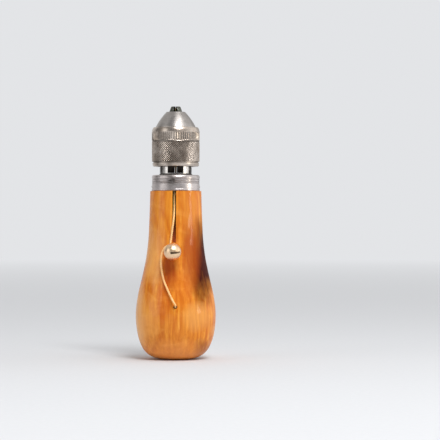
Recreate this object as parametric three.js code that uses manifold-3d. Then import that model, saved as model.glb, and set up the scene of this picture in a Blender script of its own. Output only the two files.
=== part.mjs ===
// A hand sewing awl: a turned hardwood handle with a ferrule, a bobbin of waxed thread
// inside it, and a two-jaw needle chuck that a knurled nut closes. Millimetres, +Z up.
// The origin is the middle of the flat foot of the handle. The front, with the tension
// post and the thread, faces -Y.
import * as THREE from "three";
import { mergeVertices } from "three/addons/utils/BufferGeometryUtils.js";
import Module from "manifold-3d";

const wasm = await Module();
wasm.setup();

// ---- Driving dimensions ------------------------------------------------------------

const ROUND = 36; // sides of a large turned piece
const SMALL_ROUND = 20; // sides of a small turned piece
const FIT = 0.15; // gap between pieces that touch

// Handle: radius and height of the turned outline, from the foot to the ferrule.
const HANDLE_OUTLINE = [
  [9.0, 0],
  [13.6, 1.5],
  [17.3, 4.5],
  [20.2, 10.2],
  [21.8, 18],
  [22.1, 25.5],
  [21.2, 34],
  [18.7, 45],
  [16.5, 55.5],
  [15.2, 66],
  [14.6, 78],
  [14.15, 92.8],
];
const SHOULDER_Z = 92.8; // where the ferrule's skirt meets the wood
const TENON_R = 12.2;
const TENON_TOP = 100.2;
const CHAMBER_R = 8.2; // bobbin chamber, bored from the top
const CHAMBER_FLOOR = 12.2;
const CLEAR_OF_HANDLE = 30; // distance from the axis that is outside the wood

// Ferrule: a skirt outside the tenon and a threaded boss inside it, with a groove round it.
const FERRULE_R = 13.3;
const FERRULE_TOP = 101.6;
const SKIRT_IN_R = TENON_R + FIT;
const BOSS_R = 9.25;
const MOUTH_R = 8.05;
const BOSS_FOOT = 96.7;
const FERRULE_GROOVE_Z = 98.5;
const BRAD_R = 0.6;
const BRAD_Z = 95.2;

// Saw kerf that leads the thread up the front and under the ferrule.
const KERF_X = -0.5;
const KERF_W = 1.9;
const KERF_SAW_R = 80;
const KERF_DEEPEST_Y = -7.6;

// Tension post: a ball-headed screw on the front.
const POST_X = -1.2;
const POST_Z = 59.6;
const POST_NECK_R = 1.5;
const POST_TIP = 9.8; // distances from the handle's axis
const POST_BACK = 18.95;
const BALL_R = 4.7;
const BALL_BACK = 3.9; // the ball is cut off this far behind its centre
const POST_SLOT_W = 1.15;
const POST_SLOT_DEPTH = 2.6;
const POST_SLOT_TILT = 0.1;
const POST_SLOT_FROM = -1.1; // the slot is milled in from the right
const POST_SLOT_DROP = 0.55; // and a little below the middle of the ball

// Thread.
const THREAD_R = 0.55;
const THREAD_SIDES = 8;
const THREAD_STEPS = 84;
const EYE_X = 0.3; // the hole that the thread comes out of
const EYE_Z = 29.6;
const EYE_R = 1.0;
const WRAP_R = 2.35; // centreline of the turn round the post
const WRAP_FROM = 60; // degrees, above the post, then clockwise
const WRAP_TO = -200;
const WRAP_OUTER_Y = -18.1;
const WRAP_INNER_Y = -16.9;
const WRAP_POINTS = 9;

// Chuck body: a plug in the ferrule, a neck, and four threaded prongs above it.
const WASHER_R = 9.1;
const WASHER_T = 0.45;
const PLUG_R = 7.75;
const PLUG_FOOT = 96.9;
const PLUG_BORE_R = 5.6;
const NECK_R = 8.9;
const NECK_FOOT = FERRULE_TOP + WASHER_T + 2 * FIT;
const DECK_FOOT = 100.6; // the deck that the jaws stand on
const DECK_TOP = 102.6;
const DECK_HOLE_R = 1.6;
const PRONG_THREAD_FOOT = 107.6;
const PRONG_TOP = 120;
const PITCH = 1.5;
const THREAD_DEPTH = 0.5;
const JAW_SLOT_W = 6.4; // left to right slot, across Y
const THREAD_SLOT_W = 8.6; // front to back slot, across X

// Jaws.
const JAW_FOOT = DECK_TOP + 2 * FIT;
const JAW_TOP = 139.6;
const JAW_HALF_GAP = 0.15; // with the jaws closed
const JAW_FOOT_HALF_GAP = 0.7; // below the step, where the thread shows
const JAW_STEP_Z = 112;
const JAW_W = 6.0;
const JAW_HEEL_R = 8.8; // the heel stands out of the slot, just below the nut
const JAW_HEEL_TOP = 105.9;
const JAW_BACK_R = 7.2;
const JAW_TAPER_Z = 124;
const JAW_TAPER_R = 6.5;
const JAW_NOSE_Z = 136.4;
const JAW_NOSE_R = 3.75;
const JAW_TIP_R = 2.5;
const NEEDLE_BORE_R = 1.2;
const GUIDE_HALF_W = 1.0; // groove down the front and back of the closed jaws
const GUIDE_FROM_Y = 1.6;
const SPRING_Y = 1.75;
const SPRING_Z = 110;
const SPRING_R = 0.6; // centre of the wire
const SPRING_WIRE_R = 0.17;
const SPRING_HALF_L = 2.9;
const SPRING_TURNS = 5;
const SPRING_POCKET_R = 0.95;
const SPRING_POCKET_END = 3.3;

// Nut: a knurled sleeve that turns round a polished nose cone.
const SLEEVE_FOOT = 106.35;
const SLEEVE_R = 13.24;
const SLEEVE_TOP = 128.0;
const SLEEVE_THREAD_R = 9.15;
const SLEEVE_SEAT_R = 12.1;
const SLEEVE_SEAT_FOOT = 122.2;
const SLEEVE_LIP_R = 11.4;
const SLEEVE_GROOVE_Z = 120.2; // between the knurl and the ribs
const NOSE_FLANGE_R = 11.9;
const NOSE_SKIRT_R = 10.8; // inside the retaining ring
const NOSE_BORE_R = 9.3;
const NOSE_TAPER_Z = 125.2; // the bore narrows from here to the mouth
const NOSE_BASE_R = 11.15;
const NOSE_TOP = 136.6;
const NOSE_TOP_R = 5.5;
const NOSE_MOUTH_R = 4.05;
const NOSE_BULGE = 0.5;
const RING_FOOT = 124.9;
const RING_T = 0.8;
const RING_SPLIT = 2.4;

// Bobbin.
const BOBBIN_FOOT = CHAMBER_FLOOR + 0.4;
const BOBBIN_TOP = 50.8;
const BOBBIN_R = 7.6;
const BOBBIN_CORE_R = 3.6;
const BOBBIN_BORE_R = 2.9;
const FLANGE_T = 1.0;
const WINDING_R = 6.6;

// Needles, stored side by side in the bobbin's core.
const NEEDLE_X = 1.4;
const NEEDLE_FOOT = BOBBIN_FOOT + 0.2;
const NEEDLE_L = 62;
const NEEDLE_R = 0.9;
const NEEDLE_POINT = 5;
const SHANK_R = 1.15;
const SHANK_L = 12;
const CURVE_R = 45;
const CURVE_L = 20;

// ---- Helpers -----------------------------------------------------------------------

// A solid turned about +Z from a closed outline of [radius, height] points, listed
// anticlockwise when the radius runs to the right.
function turned(outline, sides = ROUND) {
  const points = outline.map(([r, z]) => new THREE.Vector2(r, z));
  const onAxis = points[0].x === 0 && points.at(-1).x === 0;
  if (!onAxis) points.push(points[0].clone());
  return new THREE.LatheGeometry(points, sides).rotateX(Math.PI / 2);
}

// A round bar between two heights.
function bar(radius, foot, top, sides = SMALL_ROUND) {
  return turned(
    [
      [0, foot],
      [radius, foot],
      [radius, top],
      [0, top],
    ],
    sides,
  );
}

// A ring between two heights.
function ring(inner, outer, foot, top, sides = ROUND) {
  return turned(
    [
      [inner, foot],
      [outer, foot],
      [outer, top],
      [inner, top],
    ],
    sides,
  );
}

// Lays a piece made along +Z down along -Y: its height becomes its distance from the axis.
function towardsFront(geometry, x, z) {
  return geometry.rotateX(Math.PI / 2).translate(x, 0, z);
}

function block(width, depth, height, x, y, z) {
  return new THREE.BoxGeometry(width, depth, height).translate(x, y, z);
}

function solid(geometry) {
  const bare = geometry.clone();
  bare.deleteAttribute("normal");
  bare.deleteAttribute("uv");
  const merged = mergeVertices(bare, 1e-4);
  const mesh = new wasm.Mesh({
    numProp: 3,
    vertProperties: merged.attributes.position.array,
    triVerts: new Uint32Array(merged.index.array),
  });
  return new wasm.Manifold(mesh);
}

function shown(manifold) {
  const mesh = manifold.getMesh();
  const geometry = new THREE.BufferGeometry();
  const position = new THREE.BufferAttribute(mesh.vertProperties, 3);
  geometry.setAttribute("position", position);
  geometry.setIndex(new THREE.BufferAttribute(mesh.triVerts, 1));
  geometry.computeVertexNormals();
  return geometry;
}

function cut(geometry, ...tools) {
  const rest = tools.reduce((a, tool) => a.subtract(solid(tool)), solid(geometry));
  return shown(rest);
}

function common(geometry, other) {
  return shown(solid(geometry).intersect(solid(other)));
}

// Outline points of a screw thread as a stack of V grooves, going up.
function screwOutline(radius, foot, top) {
  const outline = [];
  for (let z = foot; z + PITCH <= top + 1e-6; z += PITCH) {
    outline.push([radius, z], [radius, z + PITCH * 0.3]);
    outline.push([radius - THREAD_DEPTH, z + PITCH * 0.65]);
  }
  outline.push([radius, top]);
  return outline;
}

// A round bar along a curve.
function rod(curve, radius, steps, sides) {
  const section = new THREE.Shape();
  for (let i = 0; i < sides; i += 1) {
    const a = (2 * Math.PI * i) / sides;
    const move = i === 0 ? "moveTo" : "lineTo";
    section[move](radius * Math.cos(a), radius * Math.sin(a));
  }
  section.closePath();
  const options = { steps, extrudePath: curve, bevelEnabled: false };
  return new THREE.ExtrudeGeometry(section, options);
}

// ---- Materials ---------------------------------------------------------------------

function finish(color, roughness, metalness) {
  return new THREE.MeshStandardMaterial({ color, roughness, metalness });
}

const wood = finish(0xd2802f, 0.35, 0);
const alloy = finish(0xb9b2ab, 0.38, 1);
const polished = finish(0xc9c7c4, 0.2, 1);
const steel = finish(0x9a9692, 0.3, 1);
const darkSteel = finish(0x2a2725, 0.45, 1);
const nickel = finish(0xd9cfc0, 0.12, 1);
const spoolMetal = finish(0xc2c2c4, 0.3, 1);
const fibre = finish(0x2b211b, 0.8, 0);
const thread = finish(0xe9bd84, 0.7, 0);

const awl = new THREE.Group();

function add(name, geometry, material) {
  const mesh = new THREE.Mesh(geometry, material);
  mesh.name = name;
  awl.add(mesh);
}

// ---- Handle ------------------------------------------------------------------------

function handleGeometry() {
  const curve = new THREE.SplineCurve(
    HANDLE_OUTLINE.map(([r, z]) => new THREE.Vector2(r, z)),
  );
  const outside = curve.getPoints(22).map((p) => [p.x, p.y]);
  const body = turned([
    [0, 0],
    ...outside,
    [TENON_R, SHOULDER_Z],
    [TENON_R, TENON_TOP],
    [BOSS_R + FIT, TENON_TOP],
    [BOSS_R + FIT, BOSS_FOOT - 2 * FIT],
    [CHAMBER_R, BOSS_FOOT - 2 * FIT],
    [CHAMBER_R, CHAMBER_FLOOR],
    [0, CHAMBER_FLOOR],
  ]);
  const saw = new THREE.CylinderGeometry(KERF_SAW_R, KERF_SAW_R, KERF_W, 120);
  saw.rotateZ(Math.PI / 2);
  saw.translate(KERF_X, KERF_DEEPEST_Y - KERF_SAW_R, TENON_TOP);
  const eyeBore = bar(EYE_R, CHAMBER_R - 2, CLEAR_OF_HANDLE, 12);
  const eye = towardsFront(eyeBore, EYE_X, EYE_Z);
  const pilot = towardsFront(
    bar(POST_NECK_R + FIT, POST_TIP - 2 * FIT, CLEAR_OF_HANDLE, 14),
    POST_X,
    POST_Z,
  );
  return cut(body, saw, eye, pilot, bradHoles());
}

// One bar through both sides of the ferrule and the tenon.
function bradHoles() {
  const through = bar(BRAD_R + FIT, -FERRULE_R - 1, FERRULE_R + 1, 10);
  return through.rotateY(Math.PI / 2).translate(0, 0, BRAD_Z);
}

// ---- Ferrule -----------------------------------------------------------------------

function ferruleGeometry() {
  const foot = SHOULDER_Z + FIT;
  const body = turned([
    [SKIRT_IN_R, foot],
    [FERRULE_R - 0.2, foot],
    [FERRULE_R, foot + 0.4],
    [FERRULE_R, FERRULE_GROOVE_Z - 0.3],
    [FERRULE_R - 0.25, FERRULE_GROOVE_Z],
    [FERRULE_R, FERRULE_GROOVE_Z + 0.3],
    [FERRULE_R, FERRULE_TOP - 0.9],
    [FERRULE_R - 0.55, FERRULE_TOP],
    [MOUTH_R, FERRULE_TOP],
    [MOUTH_R, BOSS_FOOT],
    [BOSS_R, BOSS_FOOT],
    [BOSS_R, TENON_TOP + FIT],
    [SKIRT_IN_R, TENON_TOP + FIT],
  ]);
  return cut(body, bradHoles());
}

function bradGeometry(side) {
  const brad = bar(BRAD_R, TENON_R - 2.4, FERRULE_R + 0.1, 10);
  return brad.rotateY((side * Math.PI) / 2).translate(0, 0, BRAD_Z);
}

// ---- Tension post ------------------------------------------------------------------

function postGeometry() {
  const centre = POST_BACK + BALL_BACK;
  const backAngle = Math.acos(BALL_BACK / BALL_R);
  const outline = [
    [0, POST_TIP],
    [POST_NECK_R, POST_TIP + 1.6],
    [POST_NECK_R, POST_BACK],
  ];
  const steps = 9;
  for (let i = 0; i <= steps; i += 1) {
    const a = Math.PI - backAngle - ((Math.PI - backAngle) * i) / steps;
    outline.push([BALL_R * Math.sin(a), centre + BALL_R * Math.cos(a)]);
  }
  outline.at(-1)[0] = 0;
  const slot = block(
    4 * BALL_R,
    POST_SLOT_W,
    2 * POST_SLOT_DEPTH,
    POST_SLOT_FROM + 2 * BALL_R,
    -POST_SLOT_DROP,
    centre + BALL_R,
  );
  slot.rotateZ(POST_SLOT_TILT);
  return towardsFront(cut(turned(outline, 24), slot), POST_X, POST_Z);
}

// ---- Thread ------------------------------------------------------------------------

// From the winding, out of the eye, in a slack bow on the left, once round the post,
// then up the kerf, under the ferrule and up the middle of the chuck.
function threadCurve() {
  const points = [
    [EYE_X, -7.6, EYE_Z],
    [EYE_X, -12, EYE_Z],
    [EYE_X, -17.5, EYE_Z],
    [EYE_X, -21.6, EYE_Z],
    [0.25, -23.6, 30.8],
    [-0.95, -23.3, 32.9],
    [-2.5, -22.3, 35.9],
    [-4.5, -20.95, 40.2],
    [-6.0, -19.6, 44],
    [-7.1, -18.2, 48.4],
    [-7.7, -17.3, 52.6],
    [-7.6, -17.0, 56.2],
    [-6.9, -17.2, 59.4],
    [-5.6, -17.6, 61.8],
    [-3.9, -17.9, 62.9],
    [-2.2, -18.1, 62.9],
  ];
  for (let i = 0; i <= WRAP_POINTS; i += 1) {
    const share = i / WRAP_POINTS;
    const a = THREE.MathUtils.degToRad(THREE.MathUtils.lerp(WRAP_FROM, WRAP_TO, share));
    points.push([
      POST_X + WRAP_R * Math.cos(a),
      THREE.MathUtils.lerp(WRAP_OUTER_Y, WRAP_INNER_Y, share),
      POST_Z + WRAP_R * Math.sin(a),
    ]);
  }
  points.push(
    [-2.8, -16.6, 63],
    [-2.15, -16.1, 67],
    [-1.5, -15.75, 72],
    [-0.8, -15.3, 77],
    [KERF_X, -13.7, 82.5],
    [KERF_X, -12, 88],
    [KERF_X, -10.4, 92.6],
    [-0.45, -8.8, 94.5],
    [-0.3, -6.2, 95.7],
    [-0.15, -3.4, 97],
    [0, -1.2, 99],
    [0, -0.2, 101.6],
    [0, 0, 105],
    [0, 0, 112],
    [0, 0, 120],
    [0, 0, 128],
    [0, 0, 134],
    [0, 0, 138.8],
  );
  return new THREE.CatmullRomCurve3(
    points.map(([x, y, z]) => new THREE.Vector3(x, y, z)),
    false,
    "centripetal",
  );
}

// ---- Chuck body, washer and jaws -----------------------------------------------------

function chuckBodyGeometry() {
  const body = turned([
    [PLUG_BORE_R, PLUG_FOOT],
    ...screwOutline(PLUG_R, PLUG_FOOT, FERRULE_TOP - 0.2),
    [PLUG_R, NECK_FOOT],
    [NECK_R, NECK_FOOT],
    ...screwOutline(NECK_R, PRONG_THREAD_FOOT, PRONG_TOP - 0.6),
    [NECK_R - THREAD_DEPTH, PRONG_TOP],
    [DECK_HOLE_R, PRONG_TOP],
    [DECK_HOLE_R, DECK_FOOT],
    [PLUG_BORE_R, DECK_FOOT],
  ]);
  const height = PRONG_TOP - DECK_TOP + 1;
  const middle = DECK_TOP + height / 2;
  const jawSlot = block(3 * NECK_R, JAW_SLOT_W, height, 0, 0, middle);
  const threadSlot = block(THREAD_SLOT_W, 3 * NECK_R, height, 0, 0, middle);
  return cut(body, jawSlot, threadSlot);
}

function jawGeometry(side) {
  const outside = turned(
    [
      [0, JAW_FOOT],
      [JAW_HEEL_R, JAW_FOOT],
      [JAW_HEEL_R, JAW_HEEL_TOP],
      [JAW_BACK_R, JAW_HEEL_TOP],
      [JAW_BACK_R, PRONG_TOP],
      [JAW_TAPER_R, JAW_TAPER_Z],
      [JAW_NOSE_R, JAW_NOSE_Z],
      [JAW_TIP_R, JAW_TOP],
      [0, JAW_TOP],
    ],
    28,
  );
  const width = 2 * JAW_BACK_R;
  const height = JAW_TOP - JAW_FOOT + 2;
  const half = block(
    width,
    JAW_W,
    height,
    side * (JAW_HALF_GAP + width / 2),
    0,
    JAW_FOOT + height / 2 - 1,
  );
  const bore = bar(NEEDLE_BORE_R, JAW_FOOT - 1, JAW_TOP + 1, 14);
  const footHeight = JAW_STEP_Z - JAW_FOOT + 1;
  const footGap = block(
    2 * JAW_FOOT_HALF_GAP,
    2 * JAW_W,
    footHeight,
    0,
    0,
    JAW_STEP_Z - footHeight / 2,
  );
  const pocket = bar(SPRING_POCKET_R, 0, SPRING_POCKET_END, 12);
  pocket.rotateY((side * Math.PI) / 2).translate(0, SPRING_Y, SPRING_Z);
  return cut(common(outside, half), bore, footGap, guide(-1), guide(1), pocket);
}

// The cutter for the groove down the front or the back of the closed jaws.
function guide(side) {
  const depth = 4;
  const height = JAW_TOP - JAW_STEP_Z + 1;
  return block(
    2 * GUIDE_HALF_W,
    depth,
    height,
    0,
    side * (GUIDE_FROM_Y + depth / 2),
    JAW_STEP_Z + height / 2,
  );
}

function springGeometry() {
  const points = [];
  const perTurn = 8;
  for (let i = 0; i <= SPRING_TURNS * perTurn; i += 1) {
    const a = (2 * Math.PI * i) / perTurn;
    const share = i / (SPRING_TURNS * perTurn);
    points.push(
      new THREE.Vector3(
        SPRING_HALF_L * (2 * share - 1),
        SPRING_Y + SPRING_R * Math.cos(a),
        SPRING_Z + SPRING_R * Math.sin(a),
      ),
    );
  }
  const curve = new THREE.CatmullRomCurve3(points);
  return rod(curve, SPRING_WIRE_R, SPRING_TURNS * perTurn, 5);
}

// ---- Nut -----------------------------------------------------------------------------

function sleeveGeometry() {
  return turned([
    [SLEEVE_THREAD_R + 1, SLEEVE_FOOT],
    [SLEEVE_R - 1.3, SLEEVE_FOOT],
    [SLEEVE_R - 0.4, SLEEVE_FOOT + 1.3],
    [SLEEVE_R - 0.4, SLEEVE_FOOT + 2.5],
    [SLEEVE_R, SLEEVE_FOOT + 2.9],
    [SLEEVE_R, SLEEVE_GROOVE_Z - 0.3],
    [SLEEVE_R - 0.35, SLEEVE_GROOVE_Z],
    [SLEEVE_R - 0.1, SLEEVE_GROOVE_Z + 0.4],
    [SLEEVE_R - 0.1, SLEEVE_TOP - 2.2],
    [SLEEVE_R - 0.35, SLEEVE_TOP - 0.8],
    [SLEEVE_R - 0.85, SLEEVE_TOP],
    [SLEEVE_LIP_R, SLEEVE_TOP],
    [SLEEVE_LIP_R, SLEEVE_TOP - 0.6],
    [SLEEVE_SEAT_R, SLEEVE_TOP - 0.6],
    [SLEEVE_SEAT_R, SLEEVE_SEAT_FOOT],
    [SLEEVE_THREAD_R, SLEEVE_SEAT_FOOT],
    [SLEEVE_THREAD_R, SLEEVE_FOOT + 2.6],
    [SLEEVE_THREAD_R + 1, SLEEVE_FOOT + 1.6],
  ]);
}

function noseGeometry() {
  const base = new THREE.Vector2(NOSE_BASE_R, SLEEVE_TOP + FIT);
  const top = new THREE.Vector2(NOSE_TOP_R, NOSE_TOP - 0.25);
  const middle = base.clone().lerp(top, 0.5).add(new THREE.Vector2(NOSE_BULGE, NOSE_BULGE));
  const side = new THREE.QuadraticBezierCurve(base, middle, top).getPoints(7);
  return turned([
    [NOSE_BORE_R, SLEEVE_SEAT_FOOT + 2 * FIT],
    [NOSE_SKIRT_R, SLEEVE_SEAT_FOOT + 2 * FIT],
    [NOSE_SKIRT_R, RING_FOOT + RING_T + 0.2],
    [NOSE_FLANGE_R, RING_FOOT + RING_T + 0.2],
    [NOSE_FLANGE_R, SLEEVE_TOP - 0.8],
    [NOSE_BASE_R, SLEEVE_TOP - 0.8],
    ...side.map((p) => [p.x, p.y]),
    [NOSE_TOP_R - 0.4, NOSE_TOP],
    [NOSE_MOUTH_R, NOSE_TOP],
    [NOSE_MOUTH_R, NOSE_TOP - 0.5],
    [NOSE_BORE_R, NOSE_TAPER_Z],
  ]);
}

// A split wire ring that keeps the nose cone in the sleeve.
function retainingRingGeometry() {
  const inner = NOSE_SKIRT_R + FIT;
  const outer = SLEEVE_SEAT_R - FIT;
  const whole = ring(inner, outer, RING_FOOT, RING_FOOT + RING_T, 32);
  return cut(whole, block(RING_SPLIT, 6, 4, 0, SLEEVE_SEAT_R, RING_FOOT));
}

// ---- Bobbin and needles ----------------------------------------------------------------

function windingGeometry() {
  return ring(
    BOBBIN_CORE_R + FIT,
    WINDING_R,
    BOBBIN_FOOT + FLANGE_T + FIT,
    BOBBIN_TOP - FLANGE_T - FIT,
    28,
  );
}

// The shank, the blade and the point of a needle along a curve: one bar with two radii.
function needleGeometry(curve, x) {
  const steps = 14;
  const shank = bar(SHANK_R, NEEDLE_FOOT, NEEDLE_FOOT + SHANK_L, 10).translate(x, 0, 0);
  const blade = rod(curve, NEEDLE_R, steps, 8);
  const end = curve.getPointAt(1);
  const point = new THREE.ConeGeometry(NEEDLE_R, NEEDLE_POINT, 8).rotateX(Math.PI / 2);
  point.translate(0, 0, NEEDLE_POINT / 2 - 0.1);
  const ahead = new THREE.Quaternion();
  ahead.setFromUnitVectors(new THREE.Vector3(0, 0, 1), curve.getTangentAt(1));
  point.applyQuaternion(ahead);
  point.translate(end.x, end.y, end.z);
  return shown(solid(shank).add(solid(blade)).add(solid(point)));
}

function straightNeedleGeometry() {
  const foot = new THREE.Vector3(-NEEDLE_X, 0, NEEDLE_FOOT + SHANK_L - 1);
  const top = new THREE.Vector3(-NEEDLE_X, 0, NEEDLE_FOOT + NEEDLE_L - NEEDLE_POINT);
  return needleGeometry(new THREE.LineCurve3(foot, top), -NEEDLE_X);
}

// The blade leaves the bobbin straight and bends backwards above it.
function curvedNeedleGeometry() {
  const bendZ = NEEDLE_FOOT + NEEDLE_L - NEEDLE_POINT - CURVE_L;
  const points = [
    new THREE.Vector3(NEEDLE_X, 0, NEEDLE_FOOT + SHANK_L - 1),
    new THREE.Vector3(NEEDLE_X, 0, (NEEDLE_FOOT + SHANK_L + bendZ) / 2),
  ];
  const steps = 5;
  for (let i = 0; i <= steps; i += 1) {
    const a = (CURVE_L / CURVE_R) * (i / steps);
    points.push(
      new THREE.Vector3(
        NEEDLE_X,
        CURVE_R * (1 - Math.cos(a)),
        bendZ + CURVE_R * Math.sin(a),
      ),
    );
  }
  return needleGeometry(new THREE.CatmullRomCurve3(points), NEEDLE_X);
}

// ---- Assembly --------------------------------------------------------------------------

add("handle", handleGeometry(), wood);
add("ferrule", ferruleGeometry(), alloy);
add("ferrule_brad_right", bradGeometry(1), steel);
add("ferrule_brad_left", bradGeometry(-1), steel);
add("tension_post", postGeometry(), nickel);
add("thread_line", rod(threadCurve(), THREAD_R, THREAD_STEPS, THREAD_SIDES), thread);

add(
  "head_washer",
  ring(MOUTH_R, WASHER_R, FERRULE_TOP + FIT, FERRULE_TOP + FIT + WASHER_T, 32),
  fibre,
);
add("chuck_body", chuckBodyGeometry(), steel);
add("jaw_right", jawGeometry(1), darkSteel);
add("jaw_left", jawGeometry(-1), darkSteel);
add("jaw_spring", springGeometry(), steel);

add("nose_cone", noseGeometry(), polished);
add("nose_retaining_ring", retainingRingGeometry(), steel);
add("knurled_sleeve", sleeveGeometry(), alloy);

add(
  "bobbin_core",
  ring(BOBBIN_BORE_R, BOBBIN_CORE_R, BOBBIN_FOOT, BOBBIN_TOP, 24),
  spoolMetal,
);
for (const [name, foot] of [
  ["bobbin_flange_lower", BOBBIN_FOOT],
  ["bobbin_flange_upper", BOBBIN_TOP - FLANGE_T],
]) {
  const flange = ring(BOBBIN_CORE_R + FIT, BOBBIN_R, foot, foot + FLANGE_T, 28);
  add(name, flange, spoolMetal);
}
add("thread_winding", windingGeometry(), thread);
add("straight_needle", straightNeedleGeometry(), steel);
add("curved_needle", curvedNeedleGeometry(), steel);

export default awl;
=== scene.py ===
import itertools
import math

import bmesh
import bpy
import numpy as np
from mathutils import Matrix, Vector


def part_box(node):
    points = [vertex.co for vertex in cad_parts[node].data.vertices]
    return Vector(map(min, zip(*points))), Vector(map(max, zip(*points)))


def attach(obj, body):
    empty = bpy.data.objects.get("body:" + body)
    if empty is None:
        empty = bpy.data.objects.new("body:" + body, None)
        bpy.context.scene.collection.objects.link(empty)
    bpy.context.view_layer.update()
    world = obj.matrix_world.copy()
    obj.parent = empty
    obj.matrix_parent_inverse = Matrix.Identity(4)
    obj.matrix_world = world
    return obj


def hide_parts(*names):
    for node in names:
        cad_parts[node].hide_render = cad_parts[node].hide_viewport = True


# The looks of a hand sewing awl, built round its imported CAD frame. Metres, +Z up, the front
# with the tension post and the thread faces -Y. Outlines are in millimetres.

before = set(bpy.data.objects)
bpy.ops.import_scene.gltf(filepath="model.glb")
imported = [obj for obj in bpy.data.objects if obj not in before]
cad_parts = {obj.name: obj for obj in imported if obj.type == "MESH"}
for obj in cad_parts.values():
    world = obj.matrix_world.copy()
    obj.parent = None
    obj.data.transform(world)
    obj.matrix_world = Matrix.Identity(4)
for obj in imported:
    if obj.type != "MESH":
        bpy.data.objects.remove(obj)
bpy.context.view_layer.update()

MM = 0.001
FIT = 0.15  # gap between pieces that touch, in millimetres


def reach(node):
    """How far a CAD piece reaches to the right of the Z axis, in millimetres."""
    return round(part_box(node)[1].x / MM, 2)


def foot_and_top(node):
    """The lowest and the highest height of a CAD piece, in millimetres."""
    return [round(corner.z / MM, 2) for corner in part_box(node)]


# ---- Camera ----

VIEW_WIDTH = 243.8 * MM  # what the picture spans at the awl's axis
VIEW_DISTANCE = 1.0
VIEW_X = 24.5 * MM
VIEW_Z = 76.8 * MM
SENSOR = 36.0


def make_camera():
    data = bpy.data.cameras.new("camera")
    data.sensor_width = SENSOR
    data.lens = SENSOR * VIEW_DISTANCE / VIEW_WIDTH
    data.clip_start = 0.01
    data.clip_end = 20
    camera = bpy.data.objects.new("camera", data)
    camera.location = (VIEW_X, -VIEW_DISTANCE, VIEW_Z)
    camera.rotation_euler = (math.pi / 2, 0, 0)
    bpy.context.scene.collection.objects.link(camera)
    bpy.context.scene.camera = camera


# ---- Mesh helpers ----

SHARP = math.radians(32)


def link_mesh(name, vertices, faces, sharp=SHARP):
    mesh = bpy.data.meshes.new(name)
    mesh.from_pydata([tuple(v) for v in vertices], [], faces)
    mesh.validate()
    piece = bpy.data.objects.new(name, mesh)
    bpy.context.scene.collection.objects.link(piece)
    face_outwards(mesh)
    shade(mesh, sharp)
    return piece


def face_outwards(mesh):
    work = bmesh.new()
    work.from_mesh(mesh)
    bmesh.ops.recalc_face_normals(work, faces=work.faces)
    work.to_mesh(mesh)
    work.free()


def shade(mesh, sharp=SHARP):
    mesh.shade_smooth()
    mesh.set_sharp_from_angle(angle=sharp)


def turned(name, outline, sides=160, radius=None, sharp=SHARP):
    """A solid turned about Z from an outline of (radius, height) points in millimetres.

    The outline starts and ends on the axis, or closes on itself. radius(r, z, angle), where it
    is given, returns the radius of the outline point (r, z) at that angle.
    """
    on_axis = outline[0][0] == 0
    vertices = []
    rings = []
    for i, (r, z) in enumerate(outline):
        if on_axis and i in (0, len(outline) - 1):
            rings.append([len(vertices)] * sides)
            vertices.append((0, 0, z * MM))
            continue
        rings.append(list(range(len(vertices), len(vertices) + sides)))
        for k in range(sides):
            a = 2 * math.pi * k / sides
            here = radius(r, z, a) if radius else r
            vertices.append((here * math.cos(a) * MM, here * math.sin(a) * MM, z * MM))
    faces = []
    pairs = list(zip(rings, rings[1:]))
    if not on_axis:
        pairs.append((rings[-1], rings[0]))
    for low, high in pairs:
        for k in range(sides):
            n = (k + 1) % sides
            corners = [low[k], low[n], high[n], high[k]]
            faces.append(tuple(dict.fromkeys(corners)))
    return link_mesh(name, vertices, faces, sharp)


def towards_front(piece, x, z):
    """Lays a piece made along +Z down along -Y, at (x, z) in millimetres."""
    mesh = piece.data
    points = np.empty(len(mesh.vertices) * 3)
    mesh.vertices.foreach_get("co", points)
    points = points.reshape(-1, 3)
    laid = np.column_stack([points[:, 0] + x * MM, -points[:, 2], points[:, 1] + z * MM])
    mesh.vertices.foreach_set("co", laid.ravel())
    mesh.update()


def lay_across(piece, centre, stretch=1):
    """Lays a piece made along +Z down along +X, round a centre in millimetres."""
    for vertex in piece.data.vertices:
        x, y, z = vertex.co
        vertex.co = (z + centre[0] * MM, x + centre[1] * MM, y * stretch + centre[2] * MM)
    face_outwards(piece.data)


def lay_sideways(piece, side, y, z):
    """Lays a piece made along +Z down along +X or -X, at (y, z) in millimetres."""
    for vertex in piece.data.vertices:
        up, aside, out = vertex.co
        vertex.co = (side * out, side * aside + y * MM, up + z * MM)
    face_outwards(piece.data)


def bar(name, radius, foot, top, sides):
    """A round bar along Z between two heights in millimetres."""
    return turned(name, [(0, foot), (radius, foot), (radius, top), (0, top)], sides)


def box_piece(name, low, high):
    """A box between two corners in millimetres."""
    corners = itertools.product(*zip(low, high))
    faces = [(0, 1, 3, 2), (4, 6, 7, 5), (0, 4, 5, 1), (2, 3, 7, 6), (0, 2, 6, 4), (1, 5, 7, 3)]
    return link_mesh(name, [[c * MM for c in p] for p in corners], faces)


def carve(piece, tools, operation="DIFFERENCE", sharp=SHARP):
    """Cuts tools out of a piece, keeps the result as its mesh and removes the tools."""
    for tool in tools:
        cutter = piece.modifiers.new(tool.name, "BOOLEAN")
        cutter.operation = operation
        cutter.solver = "EXACT"
        cutter.object = tool
    keep_result(piece)
    for tool in tools:
        bpy.data.objects.remove(tool)
    shade(piece.data, sharp)


def soften(piece, width, segments, angle):
    """Rounds the edges that are sharper than an angle in degrees, over a width in millimetres."""
    bevel = piece.modifiers.new("bevel", "BEVEL")
    bevel.width = width * MM
    bevel.segments = segments
    bevel.limit_method = "ANGLE"
    bevel.angle_limit = math.radians(angle)
    bevel.use_clamp_overlap = True
    keep_result(piece)
    shade(piece.data)


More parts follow.
